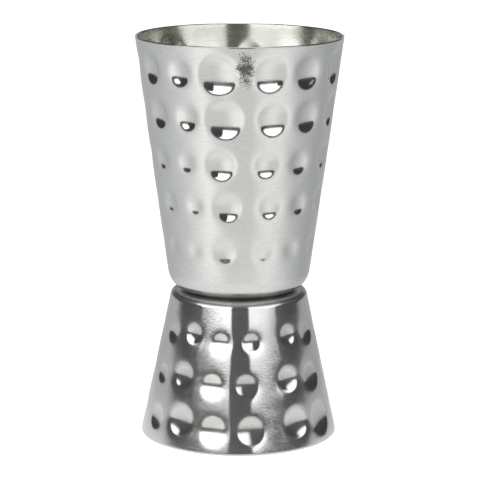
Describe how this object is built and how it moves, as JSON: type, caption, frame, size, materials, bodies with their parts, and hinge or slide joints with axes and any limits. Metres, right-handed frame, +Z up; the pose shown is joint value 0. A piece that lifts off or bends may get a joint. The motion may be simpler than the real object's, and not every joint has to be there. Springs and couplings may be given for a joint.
{
  "type": "bar jigger",
  "caption": "Double-ended dimpled steel spirit measure: a larger cup stands base to base on a smaller inverted cup, for measuring pours.",
  "frame": {"origin": "centre of the lower cup's rim, on the surface that the jigger stands on", "axes": "+Z up along the common axis of both cups, from the smaller cup's rim to the larger cup's rim; -Y towards the front"},
  "size_m": [0.046, 0.046, 0.0895],
  "materials": {
    "upper_cup_steel": "satin stainless steel, brushed around the axis, with pressed dimples",
    "lower_cup_steel": "bright satin stainless steel, brushed around the axis, with pressed dimples",
    "weld_metal": "fused spot-weld steel, hidden between the two bases"
  },
  "bodies": {
    "root": {"upper_cup": "upper_cup_steel", "lower_cup": "lower_cup_steel", "weld_nugget_1": "weld_metal", "weld_nugget_2": "weld_metal", "weld_nugget_3": "weld_metal"}
  },
  "joints": []
}
